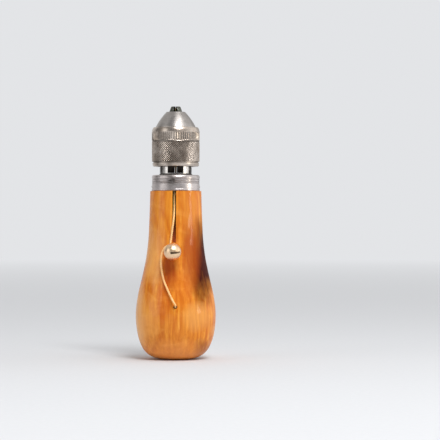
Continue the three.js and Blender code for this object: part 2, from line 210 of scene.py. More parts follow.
def keep_result(piece):
    """Makes what the modifiers give the piece's own mesh."""
    graph = bpy.context.evaluated_depsgraph_get()
    result = bpy.data.meshes.new_from_object(piece.evaluated_get(graph))
    piece.modifiers.clear()
    old = piece.data
    piece.data = result
    result.name = piece.name
    bpy.data.meshes.remove(old)


def spline(points, per_span):
    """A centripetal Catmull-Rom curve through points, as an array."""
    knots = np.array(points, dtype=float)
    ends = [2 * knots[0] - knots[1], 2 * knots[-1] - knots[-2]]
    knots = np.vstack([ends[0], knots, ends[1]])
    out = []
    for i in range(1, len(knots) - 2):
        p = knots[i - 1 : i + 3]
        t = np.concatenate([[0], np.cumsum(np.sqrt(np.linalg.norm(np.diff(p, axis=0), axis=1)))])
        for u in np.linspace(t[1], t[2], per_span, endpoint=False):
            a = [blended(p[j], p[j + 1], t[j], t[j + 1], u) for j in range(3)]
            b = [blended(a[j], a[j + 1], t[j], t[j + 2], u) for j in range(2)]
            out.append(blended(b[0], b[1], t[1], t[2], u))
    out.append(knots[-2])
    return np.array(out)


def blended(start, end, start_at, end_at, at):
    """The point at a place between two others, each with its own place."""
    return (end_at - at) / (end_at - start_at) * start + (at - start_at) / (end_at - start_at) * end


def even_steps(points, step):
    """The same line with points a fixed distance apart."""
    lengths = np.concatenate([[0], np.cumsum(np.linalg.norm(np.diff(points, axis=0), axis=1))])
    count = max(2, int(round(lengths[-1] / step)) + 1)
    at = np.linspace(0, lengths[-1], count)
    return np.column_stack([np.interp(at, lengths, points[:, k]) for k in range(3)])


def tube(name, path, radius, sides, sharp=math.pi):
    """A closed tube along path. radius(i, angle) is in millimetres, the path too."""
    tangents = np.gradient(path, axis=0)
    tangents /= np.linalg.norm(tangents, axis=1)[:, None]
    askew = (0.3, 0.9, 0.31)  # lies along none of the paths
    side = np.cross(tangents[0], askew)
    vertices = []
    for i, (point, ahead) in enumerate(zip(path, tangents)):
        side = side - ahead * np.dot(side, ahead)
        side /= np.linalg.norm(side)
        up = np.cross(ahead, side)
        for k in range(sides):
            a = 2 * math.pi * k / sides
            offset = (math.cos(a) * side + math.sin(a) * up) * radius(i, a)
            vertices.append((point + offset) * MM)
    faces = []
    for i in range(len(path) - 1):
        for k in range(sides):
            n = (k + 1) % sides
            base = i * sides
            faces.append((base + k, base + n, base + sides + n, base + sides + k))
    faces.append(tuple(range(sides)))
    faces.append(tuple(range((len(path) - 1) * sides, len(path) * sides)))
    return link_mesh(name, vertices, faces, sharp)


def settle(piece, body, material, node):
    """Gives a finished piece its material and its body, and hides the CAD node that it stands for.
    """
    piece.data.materials.clear()
    piece.data.materials.append(material)
    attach(piece, body)
    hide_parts(node)


# ---- Material helpers ----


class Tree:
    """A node tree, with short calls for the nodes used here."""

    def __init__(self, tree):
        self.tree = tree

    def add(self, kind, **settings):
        node = self.tree.nodes.new(kind)
        for key, value in settings.items():
            setattr(node, key, value)
        return node

    def link(self, source, target):
        self.tree.links.new(source, target)

    def put(self, socket, value):
        if isinstance(value, bpy.types.NodeSocket):
            self.link(value, socket)
        else:
            socket.default_value = value

    def math(self, operation, a, b=0.0):
        node = self.add("ShaderNodeMath", operation=operation)
        self.put(node.inputs[0], a)
        self.put(node.inputs[1], b)
        return node.outputs[0]

    def fit(self, value, low, high, to_low=0.0, to_high=1.0):
        """Maps low to to_low and high to to_high, and holds the result between them."""
        node = self.add("ShaderNodeMapRange", clamp=True)
        self.put(node.inputs["Value"], value)
        limits = {"From Min": low, "From Max": high, "To Min": to_low, "To Max": to_high}
        for name, number in limits.items():
            node.inputs[name].default_value = number
        return node.outputs[0]

    def mix(self, factor, a, b):
        """A colour between a and b."""
        node = self.add("ShaderNodeMix", data_type="RGBA")
        self.put(node.inputs[0], factor)
        self.put(node.inputs[6], a)
        self.put(node.inputs[7], b)
        return node.outputs[2]

    def choose(self, factor, a, b, output):
        """Shows shader a where factor is 0 and shader b where it is 1."""
        node = self.add("ShaderNodeMixShader")
        for socket, value in zip(node.inputs, (factor, a, b)):
            self.link(value, socket)
        self.link(node.outputs[0], self.tree.nodes[output].inputs["Surface"])


class Surface(Tree):
    """A material with one shader, and the place on the object in millimetres."""

    def __init__(self, name):
        self.material = bpy.data.materials.new(name)
        self.material.use_nodes = True
        super().__init__(self.material.node_tree)
        self.shader = self.tree.nodes["Principled BSDF"]
        to_mm = self.add("ShaderNodeVectorMath", operation="SCALE")
        self.link(self.add("ShaderNodeTexCoord").outputs["Object"], to_mm.inputs[0])
        to_mm.inputs["Scale"].default_value = 1 / MM
        self.place = to_mm.outputs[0]

    def set(self, **values):
        for name, value in values.items():
            self.put(self.shader.inputs[name.replace("_", " ")], value)

    def stretched(self, x, y, z):
        node = self.add("ShaderNodeMapping")
        self.link(self.place, node.inputs["Vector"])
        node.inputs["Scale"].default_value = (x, y, z)
        return node.outputs[0]

    def noise(self, vector, detail=2.0, roughness=0.5, distortion=0.0):
        node = self.add("ShaderNodeTexNoise")
        self.link(vector, node.inputs["Vector"])
        node.inputs["Scale"].default_value = 1.0
        node.inputs["Detail"].default_value = detail
        node.inputs["Roughness"].default_value = roughness
        node.inputs["Distortion"].default_value = distortion
        return node.outputs["Fac"]

    def distance(self, centre=None):
        """How far a point is from a centre, or from the Z axis, in millimetres."""
        node = self.add("ShaderNodeVectorMath", operation="LENGTH")
        if centre:
            shift = self.add("ShaderNodeVectorMath", operation="SUBTRACT")
            self.link(self.place, shift.inputs[0])
            shift.inputs[1].default_value = centre
            self.link(shift.outputs[0], node.inputs[0])
        else:
            self.link(self.stretched(1, 1, 0), node.inputs[0])
        return node.outputs["Value"]

    def split(self):
        """The x, y and z of the place."""
        node = self.add("ShaderNodeSeparateXYZ")
        self.link(self.place, node.inputs[0])
        return node.outputs

    def bump(self, height, distance, strength=1.0, surface="Normal"):
        """Relief on the surface, or on the coat over it, with distance in millimetres."""
        node = self.add("ShaderNodeBump")
        self.put(node.inputs["Height"], height)
        node.inputs["Distance"].default_value = distance * MM
        node.inputs["Strength"].default_value = strength
        self.link(node.outputs[0], self.shader.inputs[surface])


def srgb(r, g, b):
    """A colour from its 0 to 255 screen values."""

    def linear(c):
        c /= 255
        return c / 12.92 if c <= 0.04045 else ((c + 0.055) / 1.055) ** 2.4

    return (linear(r), linear(g), linear(b), 1.0)


# Broad tones in the wood: centre and half size in x and z, in millimetres, the most that the tone
# covers there, and its colour. Some of them are painted light and shade, each marked above its row.
# The first is painted shade on the right of the waist, and the coat is made thin there as well.
WOOD_TONES_AND_PAINTED_LIGHT = [
    # the two rows below are painted shade on the right of the waist
    ((15.2, 54), (6.6, 25), 1.0, (64, 15, 3)),
    ((8.5, 58), (5.5, 20), 0.75, (168, 72, 18)),
    ((7.0, 84), (6.0, 11), 0.55, (204, 120, 42)),
    ((14.5, 5), (5.0, 7), 0.6, (120, 50, 18)),
    # painted shadow under the ball, over a redder patch of wood
    ((-2.5, 49), (4.5, 11), 0.7, (164, 52, 14)),
    ((-6.0, 32), (4.0, 11), 0.4, (196, 76, 24)),
    ((4.0, 38), (5.0, 12), 0.35, (214, 104, 20)),
    # painted light on the left side
    ((-12.0, 70), (4.5, 26), 0.35, (226, 142, 66)),
    # the two rows below are painted sheen on the lower right and on the left edge of the bulb
    ((12.0, 24), (8.0, 8), 0.55, (234, 166, 86)),
    ((-20.5, 24), (4.5, 18), 0.75, (242, 182, 116)),
    ((-15.0, 22), (6.0, 13), 0.5, (248, 172, 84)),
    # painted light on the left side
    ((-12.0, 58), (5.5, 16), 0.5, (248, 184, 108)),
    # painted light on the foot of the bulb, which faces down and gets less light
    ((0.0, 4), (16.0, 8), 0.6, (246, 158, 82)),
]


def wood():
    """Honey-coloured hardwood, turned and lacquered, with the grain along the handle."""
    n = Surface("lacquered_wood")
    x, y, z = n.split()
    wander = n.noise(n.stretched(1 / 13, 1 / 13, 1 / 45), detail=2)
    across = n.math("ADD", n.math("MULTIPLY", x, 0.2), n.math("MULTIPLY", y, 0.07))
    rings = n.math("FRACT", n.math("ADD", across, n.math("MULTIPLY", wander, 5.0)))
    rings = n.fit(n.math("ABSOLUTE", n.math("SUBTRACT", rings, 0.5)), 0.05, 0.5)
    fibres = n.noise(n.stretched(0.9, 0.9, 1 / 30), detail=4, roughness=0.6)
    fine = n.noise(n.stretched(5.5, 5.5, 1 / 5), detail=2, roughness=0.6)
    ripple = n.noise(n.stretched(0.09, 0.09, 0.16), detail=2, distortion=1.2)
    colour = n.mix(rings, srgb(232, 146, 44), srgb(212, 118, 28))
    colour = n.mix(n.fit(fibres, 0.42, 0.72, 0, 0.7), colour, srgb(196, 98, 20))
    colour = n.mix(n.fit(fibres, 0.42, 0.26, 0, 0.7), colour, srgb(246, 172, 72))
    colour = n.mix(n.fit(ripple, 0.5, 0.72, 0, 0.35), colour, srgb(244, 172, 78))
    wobble = n.noise(n.stretched(1 / 6, 1 / 6, 1 / 20), detail=3, roughness=0.6)
    shares = []
    # mixes in the broad tones, several of which are painted shade, shadow, sheen and light
    for centre, half, most, tone in WOOD_TONES_AND_PAINTED_LIGHT:
        from_x = n.math("DIVIDE", n.math("SUBTRACT", x, centre[0]), half[0])
        from_z = n.math("DIVIDE", n.math("SUBTRACT", z, centre[1]), half[1])
        away = n.math("ADD", n.math("POWER", from_x, 2), n.math("POWER", from_z, 2))
        away = n.math("ADD", away, n.math("MULTIPLY", n.math("SUBTRACT", wobble, 0.5), 1.4))
        shares.append(n.fit(away, 1.3, 0.1, 0, most))
        colour = n.mix(shares[-1], colour, srgb(*tone))
    # the first tone, painted shade on the right of the waist, also thins the coat there
    painted_shade_share = shares[0]
    colour = n.mix(n.fit(fine, 0.6, 0.76, 0, 0.24), colour, srgb(124, 54, 14))
    n.set(
        Base_Color=colour,
        Roughness=n.fit(fibres, 0.3, 0.7, 0.4, 0.55),
        Coat_Weight=n.fit(painted_shade_share, 0, 0.6, 0.5, 0.03),
        Coat_Roughness=0.1,
        Coat_IOR=1.5,
        Specular_IOR_Level=0.05,
    )
    height = n.math("ADD", n.math("MULTIPLY", fine, 0.5), fibres)
    n.bump(height, 0.05, 0.3)
    brushed = n.noise(n.stretched(0.16, 0.16, 0.09), detail=1)
    n.bump(brushed, 0.9, surface="Coat Normal")
    return n.material


def sawn_wood():
    """The faces of the kerf and the holes, which the lacquer doesn't reach, with painted shade that
    darkens the kerf upwards, where it cuts deeper into the wood.
    """
    n = Surface("sawn_wood")
    saw_marks = n.noise(n.stretched(0.4, 0.6, 3.5), detail=3, roughness=0.6)
    # painted shade: darker up the kerf, where it runs deeper
    kerf_painted_shade = n.fit(n.split()[2], KERF_END_Z, KERF_END_Z + KERF_SHADE_FROM_END)
    colour = n.mix(kerf_painted_shade, srgb(150, 66, 22), srgb(74, 26, 8))
    colour = n.mix(n.fit(saw_marks, 0.4, 0.7, 0, 0.5), colour, srgb(46, 16, 6))
    n.set(
        Base_Color=colour,
        Roughness=n.fit(saw_marks, 0.3, 0.7, 0.7, 0.85),
        Specular_IOR_Level=0.2,
    )
    n.bump(saw_marks, 0.08, 0.6)
    return n.material


# the colour of dirt, also used for painted shade in hollows and on edges
GRIME_AND_SHADE = srgb(44, 37, 32)
SCUFFED = srgb(70, 60, 52)


def metal(name, light, dark, rough, lines_per_mm, line_depth, dirt=0.0, worn=0.2, grime_and_shade=None):
    """Turned metal: fine lines round the Z axis, a faint stain and scuffs. The last argument, where
    it is given, is a function of the tree that gives how much each place is darkened, by dirt or by
    painted shade, from 0 to 1."""
    n = Surface(name)
    lines = n.noise(n.stretched(0.03, 0.03, lines_per_mm), detail=3, roughness=0.7)
    stain = n.noise(n.stretched(0.16, 0.16, 0.16), detail=4, roughness=0.6)
    scuffs = n.noise(n.stretched(1.1, 1.1, 0.5), detail=5, roughness=0.7)
    colour = n.mix(n.fit(stain, 0.35, 0.68), light, dark)
    colour = n.mix(n.fit(scuffs, 0.55, 0.8, 0, dirt), colour, SCUFFED)
    roughness = n.fit(lines, 0.3, 0.7, rough * 0.75, rough * 1.25)
    roughness = n.math("ADD", roughness, n.fit(scuffs, 0.5, 0.8, 0, 0.08))
    if grime_and_shade:
        darkened = n.math("MULTIPLY", grime_and_shade(n), n.fit(stain, 0.35, 0.6, 0.45, 1))
        colour = n.mix(darkened, colour, GRIME_AND_SHADE)
        roughness = n.math("ADD", roughness, n.math("MULTIPLY", darkened, 0.3))
    n.set(Base_Color=colour, Metallic=1.0, Roughness=roughness)
    n.bump(n.math("ADD", lines, n.math("MULTIPLY", scuffs, worn)), line_depth)
    return n.material


def between(n, low, high):
    """1 between two heights and 0 elsewhere."""
    height = n.split()[2]
    above = n.math("GREATER_THAN", height, low)
    below = n.math("LESS_THAN", height, high)
    return n.math("MULTIPLY", above, below)


# Places in millimetres of dirt and of painted shade.
SMUDGE_X = -1.8
SMUDGE_Z = 98.4
SMUDGE_R = 3.4
SMUDGE_CORE_R = 1.0
KNURL_DARK_PATCHES = (  # centre, radius and how dark it is at most
    # the first two are painted shade on the front left of the ribs
    ((-8.9, -9.8, 126.4), 3.6, 0.55),
    ((-8.9, -9.8, 123.2), 2.6, 0.45),
    ((-9.2, -9.0, 107.4), 2.8, 0.5),
    ((-3.2, -12.4, 107.4), 2.4, 0.4),
)
# painted shade on the outer edges of the prongs, from here outwards
PRONG_SHADE_FROM_X = 6.9
PRONG_SHADE_FULL_X = 7.4


def ferrule_shade_and_smudge(n):
    """Painted shade in the turned grooves, with a smudge of dirt on the front."""
    grooves = n.fit(n.distance(), FERRULE_R - 0.36, FERRULE_R - 0.17, 1, 0)
    grooves = n.math("MULTIPLY", grooves, between(n, GROOVES[-1] - 1, GROOVES[0] + 1))
    from_smudge = n.distance((SMUDGE_X, -FERRULE_R, SMUDGE_Z))
    smudge = n.fit(from_smudge, SMUDGE_R, SMUDGE_CORE_R)
    streaks = n.noise(n.stretched(0.25, 0.25, 3), detail=2, roughness=0.6)
    smudge = n.math("MULTIPLY", smudge, n.fit(streaks, 0.38, 0.52))
    return n.math("MAXIMUM", grooves, smudge)


def knurl_shade_and_patches(n):
    """Painted shade between the points of the knurl and between the ribs, with darker patches above
    and below them.
    """
    deep = n.fit(n.distance(), SLEEVE_R - 0.4, SLEEVE_R - 0.1, 1, 0)
    grime_and_shade = n.math("MULTIPLY", deep, between(n, DIAMOND_FOOT - 0.35, RIBS_TOP))
    for centre, radius, most in KNURL_DARK_PATCHES:
        stain = n.fit(n.distance(centre), radius, radius * 0.3, 0, most)
        grime_and_shade = n.math("MAXIMUM", grime_and_shade, stain)
    return grime_and_shade


def prong_edge_shade(n):
    """Painted shade along the outer edges of the prongs, beside the slot that the jaws slide in."""
    outwards = n.math("ABSOLUTE", n.split()[0])
    edge = n.fit(outwards, PRONG_SHADE_FROM_X, PRONG_SHADE_FULL_X)
    return n.math("MULTIPLY", edge, between(n, NECK_FOOT, PRONG_TOP))


def slot_shade(n):
    """Painted shade in the screwdriver slot of the ball, and where the neck meets it."""
    centre = (POST_X, -POST_BACK - BALL_BACK, POST_Z)
    return n.fit(n.distance(centre), BALL_R - 0.3, BALL_R - 0.12, 1, 0)


def jaw_steel():
    """Dark steel, grey on the tips of the jaws, with painted shade that keeps it black lower down
    inside the chuck and round the needle bore.
    """
    n = Surface("black_steel")
    lines = n.noise(n.stretched(0.03, 0.03, 5), detail=3, roughness=0.7)
    scuffs = n.noise(n.stretched(0.8, 0.8, 0.5), detail=4, roughness=0.7)
    black = n.mix(n.fit(scuffs, 0.35, 0.7), srgb(46, 41, 37), srgb(26, 23, 20))
    grey = n.mix(n.fit(scuffs, 0.35, 0.7), srgb(112, 115, 106), srgb(84, 84, 76))
    # painted shade: black round the needle bore and below the tips, grey only on the outer tips
    outside = n.fit(n.distance(), NEEDLE_BORE_R + 0.7, NEEDLE_BORE_R + 1.1)
    lit_tip_share = n.fit(n.split()[2], JAW_NOSE_Z - 3, JAW_NOSE_Z)
    n.set(
        Base_Color=n.mix(n.math("MULTIPLY", lit_tip_share, outside), black, grey),
        Metallic=1.0,
        Roughness=n.fit(lines, 0.3, 0.7, 0.24, 0.36),
    )
    n.bump(n.math("ADD", lines, n.math("MULTIPLY", scuffs, 0.3)), 0.01)
    return n.material


def waxed_thread():
    n = Surface("waxed_thread")
    fibre = n.noise(n.stretched(9, 9, 9), detail=3, roughness=0.7)
    tone = n.noise(n.stretched(0.7, 0.7, 0.7), detail=2)
    colour = n.mix(n.fit(tone, 0.3, 0.7), srgb(255, 208, 140), srgb(252, 192, 118))
    colour = n.mix(n.fit(fibre, 0.5, 0.8, 0, 0.25), colour, srgb(206, 146, 76))
    n.set(
        Base_Color=colour,
        Roughness=n.fit(fibre, 0.3, 0.7, 0.45, 0.62),
        Sheen_Weight=0.2,
        Subsurface_Weight=0.08,
        Subsurface_Scale=0.0005,
    )
    n.bump(fibre, 0.03, 0.6)
    return n.material


def pressed_fibre():
    """A matt surface with a fine grain."""
    n = Surface("pressed_fibre")
    spots = n.noise(n.stretched(2.2, 2.2, 2.2), detail=3, roughness=0.6)
    n.set(
        Base_Color=n.mix(n.fit(spots, 0.35, 0.7), srgb(48, 40, 35), srgb(34, 28, 24)),
        Roughness=n.fit(spots, 0.3, 0.7, 0.68, 0.8),
    )
    n.bump(spots, 0.03, 0.5)
    return n.material


# ---- Handle ----

# Radius and height of the turned outline, from the foot to the ferrule.
HANDLE_OUTLINE = [
    (9.0, 0), (13.6, 1.5), (17.3, 4.5), (20.2, 10.2), (21.8, 18), (22.1, 25.5), (21.2, 34),
    (18.7, 45), (16.5, 55.5), (15.2, 66), (14.6, 78), (14.15, 92.8),
]
SHOULDER_Z = HANDLE_OUTLINE[-1][1]  # where the ferrule's skirt meets the wood
TENON_R = 12.2
TENON_TOP = foot_and_top("handle")[1]
BOSS_R = 9.25
BOSS_FOOT = 96.7
CHAMBER_R = 8.2
CHAMBER_FLOOR = 12.2
KERF_X = -0.5
KERF_W = 1.9
KERF_SAW_R = 80
KERF_DEEPEST_Y = -7.6
KERF_END_Z = 64
KERF_SHADE_FROM_END = 18  # the painted shade in the kerf is darkest this far above its end
CLEAR_OF_HANDLE = 30  # distance from the axis that is outside the wood
EYE_X = 0.3
EYE_Z = 29.6
EYE_R = 1.0
EYE_MOUTH = 22.0  # distances from the axis: where the hole comes out of the wood
EYE_WALL_TOP = 21.2  # and how far out its wall is bare
POST_X = -1.2
POST_Z = 59.6
POST_NECK_R = 1.5
PILOT_BOTTOM = 9


def make_handle():
    outside = spline([(r, z, 0) for r, z in HANDLE_OUTLINE], 7)[:, :2]
    outline = [(0, 0.25), (5.5, 0.2), (8.0, 0)]  # a foot that is a little hollow
    outline += [tuple(p) for p in outside]
    outline += [
        (TENON_R, SHOULDER_Z), (TENON_R, TENON_TOP), (BOSS_R + FIT, TENON_TOP),
        (BOSS_R + FIT, BOSS_FOOT - 2 * FIT), (CHAMBER_R, BOSS_FOOT - 2 * FIT),
        (CHAMBER_R, CHAMBER_FLOOR), (0, CHAMBER_FLOOR),
    ]
    body = turned("handle_turned", outline, 192)
    saw = bar("saw", KERF_SAW_R, -KERF_W / 2, KERF_W / 2, 360)
    lay_across(saw, (KERF_X, KERF_DEEPEST_Y - KERF_SAW_R, TENON_TOP))
    eye = turned("eye", rounded_hole(EYE_R, EYE_MOUTH, CHAMBER_R - 2), 32)
    pilot = bar("pilot", POST_NECK_R + FIT, PILOT_BOTTOM, CLEAR_OF_HANDLE, 32)
    towards_front(eye, EYE_X, EYE_Z)
    towards_front(pilot, POST_X, POST_Z)
    carve(body, [saw, eye, pilot])
    settle(body, "handle", wood(), "handle")
    body.data.materials.append(sawn_wood())
    for face in body.data.polygons:
        x, y, z = face.center / MM
        in_kerf = abs(x - KERF_X) < KERF_W / 2 + 0.01 and z > KERF_END_Z
        in_eye = math.hypot(x - EYE_X, z - EYE_Z) < EYE_R + 0.02
        if in_kerf and y < KERF_DEEPEST_Y + 0.1 or in_eye and -EYE_WALL_TOP < y < 0:
            face.material_index = 1


def rounded_hole(radius, mouth, bottom):
    """The outline of a cutter for a hole whose mouth is a little rounded."""
    ease = 0.35
    outline = [(0, bottom), (radius, bottom), (radius, mouth - ease)]
    for i in range(1, 6):
        a = math.pi / 2 * i / 5
        outline.append((radius + ease * (1 - math.cos(a)), mouth - ease + ease * math.sin(a)))
    return outline + [(radius + ease, mouth + 6), (0, mouth + 6)]


# ---- Ferrule ----

FERRULE_R = reach("ferrule")
FERRULE_FOOT, FERRULE_TOP = foot_and_top("ferrule")
SKIRT_IN_R = TENON_R + FIT
TURNED_R = FERRULE_R - 0.14  # between the bead at the foot and the one at the top
MOUTH_R = 8.05
BRAD_R = 0.6
BRAD_Z = 95.2
BRAD_DOME = 0.12  # how far its head stands out
GROOVES = (99.3, 98.1, 97.2)
GROOVE_W = 0.26
GROOVE_DEPTH = 0.16


def groove(z, r, width, depth):
    """Outline points of a flat-bottomed groove, going up past z."""
    flat = width * 0.35
    return [(r, z - width), (r - depth, z - flat), (r - depth, z + flat), (r, z + width)]


def make_ferrule():
    r, foot, top = FERRULE_R, FERRULE_FOOT, FERRULE_TOP
    outline = [
        (SKIRT_IN_R, foot), (r - 0.1, foot), (r + 0.02, foot + 0.15),
        (r + 0.02, foot + 0.75), (TURNED_R, foot + 1.0),
    ]
    for z in reversed(GROOVES):
        outline += groove(z, TURNED_R, GROOVE_W, GROOVE_DEPTH)
    outline += [
        (TURNED_R, top - 1.5), (r, top - 1.35), (r, top - 0.95), (r - 0.06, top - 0.8),
        (r - 0.42, top - 0.12), (r - 0.6, top), (MOUTH_R + 0.3, top), (MOUTH_R, top - 0.3),
        (MOUTH_R, BOSS_FOOT), (BOSS_R, BOSS_FOOT), (BOSS_R, TENON_TOP + FIT),
        (SKIRT_IN_R, TENON_TOP + FIT),
    ]
    body = turned("ferrule_turned", outline, 192)
    for side in (-1, 1):
        hole = bar("hole", BRAD_R + 0.06, 5, 20, 24)
        lay_sideways(hole, side, 0, BRAD_Z)
        carve(body, [hole])
    settle(body, "handle", PLATE, "ferrule")


def make_brads():
    for side, node in ((1, "ferrule_brad_right"), (-1, "ferrule_brad_left")):
        outline = [
            (0, TENON_R - 2.4), (BRAD_R * 0.5, TENON_R - 1.6),
            (BRAD_R * 0.85, TENON_R - 0.6), (BRAD_R, FERRULE_R - 0.25), (BRAD_R, FERRULE_R),
        ]
        steps = 4
        for i in range(1, steps):
            a = math.pi / 2 * i / steps
            outline.append((BRAD_R * math.cos(a), FERRULE_R + BRAD_DOME * math.sin(a)))
        outline.append((0, FERRULE_R + BRAD_DOME))
        brad = turned(node + "_domed", outline, 32)
        lay_sideways(brad, side, 0, BRAD_Z)
        settle(brad, "handle", STEEL, node)


# ---- Tension post ----

BALL_R = 4.7
POST_TIP = 9.8
POST_BACK = 18.95
BALL_BACK = 3.9
SLOT_W = 1.15
SLOT_DEPTH = 2.6
SLOT_TILT = 0.1
SLOT_FROM = -1.1
SLOT_DROP = 0.55


def make_post():
    centre = POST_BACK + BALL_BACK
    outline = [(0, POST_TIP), (POST_NECK_R * 0.5, POST_TIP + 0.8), (POST_NECK_R, POST_TIP + 1.7)]
    outline += [(POST_NECK_R, POST_BACK - 0.25), (POST_NECK_R + 0.25, POST_BACK)]
    back = math.acos(BALL_BACK / BALL_R)
    steps = 40
    for i in range(steps + 1):
        a = (math.pi - back) * (1 - i / steps)
        outline.append((BALL_R * math.sin(a), centre + BALL_R * math.cos(a)))
    outline[-1] = (0, centre + BALL_R)
    ball = turned("tension_post_ball", outline, 96)
    slot = box_piece(
        "slot",
        (SLOT_FROM, -SLOT_DROP - SLOT_W / 2, centre + BALL_R - SLOT_DEPTH),
        (SLOT_FROM + 4 * BALL_R, -SLOT_DROP + SLOT_W / 2, centre + BALL_R + 2),
    )
    slot.data.transform(Matrix.Rotation(SLOT_TILT, 4, "Z"))
    carve(ball, [slot])
    soften(ball, 0.1, 3, 50)
    towards_front(ball, POST_X, POST_Z)
    face_outwards(ball.data)
    settle(ball, "handle", NICKEL, "tension_post")


# ---- Thread ----

THREAD_D = 1.1
# From the winding, out of the eye, in a slack bow on the left, and up to the post.
THREAD_ROUTE = [
    (EYE_X, -7.6, EYE_Z), (EYE_X, -12, EYE_Z), (EYE_X, -17.5, EYE_Z), (EYE_X, -21.6, EYE_Z),
    (0.25, -23.6, 30.8), (-0.95, -23.3, 32.9), (-2.5, -22.3, 35.9), (-4.5, -20.95, 40.2),
    (-6.0, -19.6, 44), (-7.1, -18.2, 48.4), (-7.7, -17.3, 52.6), (-7.6, -17.0, 56.2),
    (-6.9, -17.2, 59.4), (-5.6, -17.6, 61.8), (-3.9, -17.9, 62.9), (-2.2, -18.1, 62.9),
]
WRAP_R = 2.35  # centreline of the turn round the post
WRAP_FROM = 60  # degrees, above the post, then clockwise
WRAP_TO = -200
WRAP_OUTER_Y = -18.1
WRAP_INNER_Y = -16.9
WRAP_POINTS = 9
# Up the kerf, under the ferrule and up the middle of the chuck.
THREAD_RISE = [
    (-2.8, -16.6, 63), (-2.15, -16.1, 67), (-1.5, -15.75, 72), (-0.8, -15.3, 77),
    (KERF_X, -13.7, 82.5), (KERF_X, -12, 88), (KERF_X, -10.4, 92.6), (-0.45, -8.8, 94.5),
    (-0.3, -6.2, 95.7), (-0.15, -3.4, 97), (0, -1.2, 99), (0, -0.2, 101.6), (0, 0, 105),
    (0, 0, 112), (0, 0, 120), (0, 0, 128), (0, 0, 134), (0, 0, 138.8),
]
PLIES = 3
PLY_R = THREAD_D / 2 * 0.536  # the plies are pressed together
LAY = 3.4  # height of one turn of the plies
THREAD_STEP = 0.25
THREAD_SIDES = 24


def thread_route():
    wrap = []
    for i in range(WRAP_POINTS + 1):
        share = i / WRAP_POINTS
        a = math.radians(WRAP_FROM + (WRAP_TO - WRAP_FROM) * share)
        y = WRAP_OUTER_Y + (WRAP_INNER_Y - WRAP_OUTER_Y) * share
        wrap.append((POST_X + WRAP_R * math.cos(a), y, POST_Z + WRAP_R * math.sin(a)))
    return THREAD_ROUTE + wrap + THREAD_RISE


def ply_radius(i, a):
    """The radius of a cord of twisted plies, i steps along it, at angle a round it."""
    turn = 2 * math.pi * i * THREAD_STEP / LAY
    within = (a - turn) % (2 * math.pi / PLIES) - math.pi / PLIES
    out = THREAD_D / 2 - PLY_R
    return out * math.cos(within) + math.sqrt(max(PLY_R**2 - (out * math.sin(within)) ** 2, 0))


def make_thread():
    path = even_steps(spline(thread_route(), 12), THREAD_STEP)
    line = tube("thread_twisted", path, ply_radius, THREAD_SIDES)
    settle(line, "handle", THREAD, "thread_line")


# ---- Chuck ----

WASHER_R = reach("head_washer")
WASHER_FOOT, WASHER_TOP = foot_and_top("head_washer")
NECK_R = reach("chuck_body")
NECK_FOOT = WASHER_TOP + FIT
PLUG_FOOT, PRONG_TOP = foot_and_top("chuck_body")
PLUG_R = 7.75
PLUG_BORE_R = 5.6
PLUG_THREAD_FOOT = PLUG_FOOT + 0.2
PLUG_THREAD_TOP = FERRULE_TOP - 0.4
DECK_FOOT = 100.6
DECK_TOP = 102.6
DECK_HOLE_R = 1.6
PRONG_THREAD_FOOT = 107.6
PRONG_THREAD_TOP = PRONG_TOP + 2  # it is cut right off the top of the prongs
PITCH = 1.5
THREAD_DEPTH = 0.5
THREAD_RUN_OUT = PITCH * 0.6
THREAD_ROWS = 12  # rows of vertices in a pitch
JAW_SLOT_W = 6.4
THREAD_SLOT_W = 8.6
CLEAR_OF_CHUCK = 20


def screw_depth(z, a, foot, top):
    """How deep a right-handed thread, rounded by wear, is cut at height z and angle a."""
    ends = min((z - foot) / THREAD_RUN_OUT, (top - z) / THREAD_RUN_OUT, 1)
    if ends <= 0:
        return 0
    return THREAD_DEPTH * ends * (1 - math.cos(2 * math.pi * z / PITCH - a)) / 2


def thread_rows(radius, foot, top):
    """Outline points for a screw thread, up to just under its top."""
    step = PITCH / THREAD_ROWS
    return [(radius, foot + step * i) for i in range(int((top - foot) / step))]


def make_chuck():
    outline = [
        (PLUG_BORE_R, PLUG_FOOT), (PLUG_R - 0.2, PLUG_FOOT),
        *thread_rows(PLUG_R, PLUG_THREAD_FOOT, PLUG_THREAD_TOP + 0.1),
        (PLUG_R, NECK_FOOT), (NECK_R - 0.15, NECK_FOOT), (NECK_R, NECK_FOOT + 0.15),
        *thread_rows(NECK_R, PRONG_THREAD_FOOT, PRONG_TOP),
        (NECK_R - THREAD_DEPTH, PRONG_TOP), (DECK_HOLE_R, PRONG_TOP),
        (DECK_HOLE_R, DECK_FOOT), (PLUG_BORE_R, DECK_FOOT),
    ]

    def radius(r, z, a):
        if r == PLUG_R:
            return r - screw_depth(z, a, PLUG_THREAD_FOOT, PLUG_THREAD_TOP)
        if r == NECK_R:
            return r - screw_depth(z, a, PRONG_THREAD_FOOT, PRONG_THREAD_TOP)
        return r

    body = turned("chuck_body_slotted", outline, 144, radius)
    slots = [
        box_piece(name, (-x, -y, DECK_TOP), (x, y, PRONG_TOP + 1))
        for name, x, y in (
            ("jaw_slot", CLEAR_OF_CHUCK, JAW_SLOT_W / 2),
            ("thread_slot", THREAD_SLOT_W / 2, CLEAR_OF_CHUCK),
        )
    ]
    carve(body, slots)
    settle(body, "chuck", PRONG_STEEL, "chuck_body")


def make_washer():
    r, low, high = MOUTH_R, WASHER_FOOT, WASHER_TOP
    edge = 0.1
    outline = [(r, low), (WASHER_R - edge, low), (WASHER_R, low + edge), (WASHER_R, high - edge)]
    outline += [(WASHER_R - edge, high), (r, high)]
    washer = turned("head_washer_fibre", outline, 128)
    settle(washer, "washer", FIBRE, "head_washer")


# ---- Jaws and spring ----

